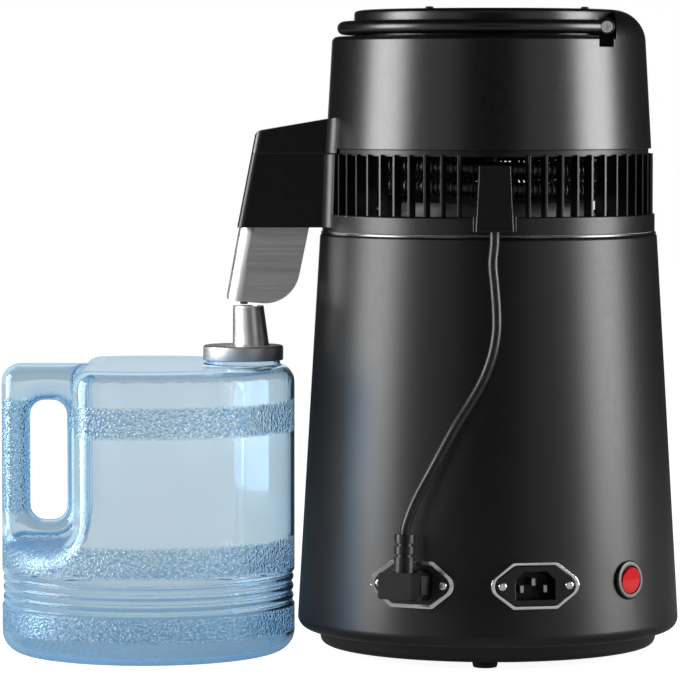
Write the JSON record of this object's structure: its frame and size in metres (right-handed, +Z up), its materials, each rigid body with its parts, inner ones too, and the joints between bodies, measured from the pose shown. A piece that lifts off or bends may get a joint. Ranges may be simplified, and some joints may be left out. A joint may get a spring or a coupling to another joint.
{
  "type": "countertop water distiller",
  "caption": "Countertop water distiller with a tapered boiler, a vented lift-off condenser head with spout and swing handle, and a blue jug with funnel cap.",
  "frame": {"origin": "on the counter, under the middle of the whole set (boiler and jug, without the head's cord and plug)", "axes": "+X from the jug towards the boiler, +Y from the sockets towards the back, +Z up"},
  "size_m": [0.409, 0.2472, 0.388],
  "materials": {
    "shell_paint": "satin black paint",
    "steel": "brushed stainless steel",
    "polished_steel": "satin stainless steel",
    "aluminium": "plain aluminium",
    "black_gloss": "glossy black moulding",
    "black_satin": "satin black moulding",
    "chrome": "polished chrome",
    "brass": "plain brass",
    "rubber": "matt black rubber",
    "cord_rubber": "smooth black cord sheath",
    "red_plastic": "glossy red moulding",
    "silicone": "pale silicone",
    "ceramic": "cream moulding",
    "jug_plastic": "clear pale blue moulding",
    "white_plastic": "white moulding"
  },
  "bodies": {
    "base": {"outer_shell": "shell_paint", "boiler_tank": "steel", "heating_plate": "aluminium", "heating_element": "steel", "heater_clamp": "steel", "tie_rods": "steel", "clamp_nuts": "steel", "thermostats": "ceramic", "base_pan": "black_satin", "rubber_feet": "rubber", "base_screws": "steel", "inlet_frame": "chrome", "mains_inlet": "black_satin", "inlet_pins": "brass", "outlet_frame": "chrome", "head_outlet": "black_satin", "socket_screws": "chrome", "switch_bezel": "black_gloss", "cord_lower": "cord_rubber", "cord_upper": "cord_rubber"},
    "head": {"head_cover": "black_gloss", "vent_ring": "black_gloss", "top_grille": "black_gloss", "grille_screws": "black_satin", "handle_screws": "black_satin", "motor_bracket": "steel", "bracket_screws": "steel", "fan_motor": "steel", "condenser_coil": "steel", "cooling_fins": "aluminium", "steam_lid": "steel", "lid_gasket": "silicone", "spout_nozzle": "polished_steel", "outlet_tip": "rubber", "charcoal_cup": "white_plastic", "cord_gland": "black_gloss"},
    "handle": {"carry_handle": "black_gloss"},
    "fan": {"fan_rotor": "black_satin"},
    "rocker": {"switch_rocker": "red_plastic"},
    "plug": {"head_plug": "black_satin", "plug_pins": "brass"},
    "jug": {"jug_body": "jug_plastic"},
    "cap": {"jug_cap": "steel", "cap_funnel": "polished_steel", "cap_seal": "silicone"}
  },
  "joints": [
    {"name": "head_lift", "type": "slide", "parent": "base", "child": "head", "axis": [0, 0, 1], "range_m": [0, 0.06], "deforming": ["cord_upper"]},
    {"name": "handle_swing", "type": "hinge", "parent": "head", "child": "handle", "pos_m": [0.157, 0, 0.3761], "axis": [0, 1, 0], "range_deg": [0, 90]},
    {"name": "fan_spin", "type": "hinge", "parent": "head", "child": "fan", "pos_m": [0.0895, 0, 0.36], "axis": [0, 0, 1], "continuous": true},
    {"name": "switch_press", "type": "hinge", "parent": "base", "child": "rocker", "pos_m": [0.16958, -0.08008, 0.0515], "axis": [-0.7071, -0.7071, 0], "range_deg": [0, 20]},
    {"name": "plug_pull", "type": "slide", "parent": "base", "child": "plug", "axis": [-0.414, -0.9084, 0.0584], "range_m": [0, 0.02], "deforming": ["cord_lower"]},
    {"name": "jug_slide", "type": "slide", "parent": "base", "child": "jug", "axis": [-1, 0, 0], "range_m": [0, 0.15]},
    {"name": "cap_turn", "type": "hinge", "parent": "jug", "child": "cap", "pos_m": [-0.0585, 0, 0.18], "axis": [0, 0, 1], "range_deg": [0, 120]}
  ]
}
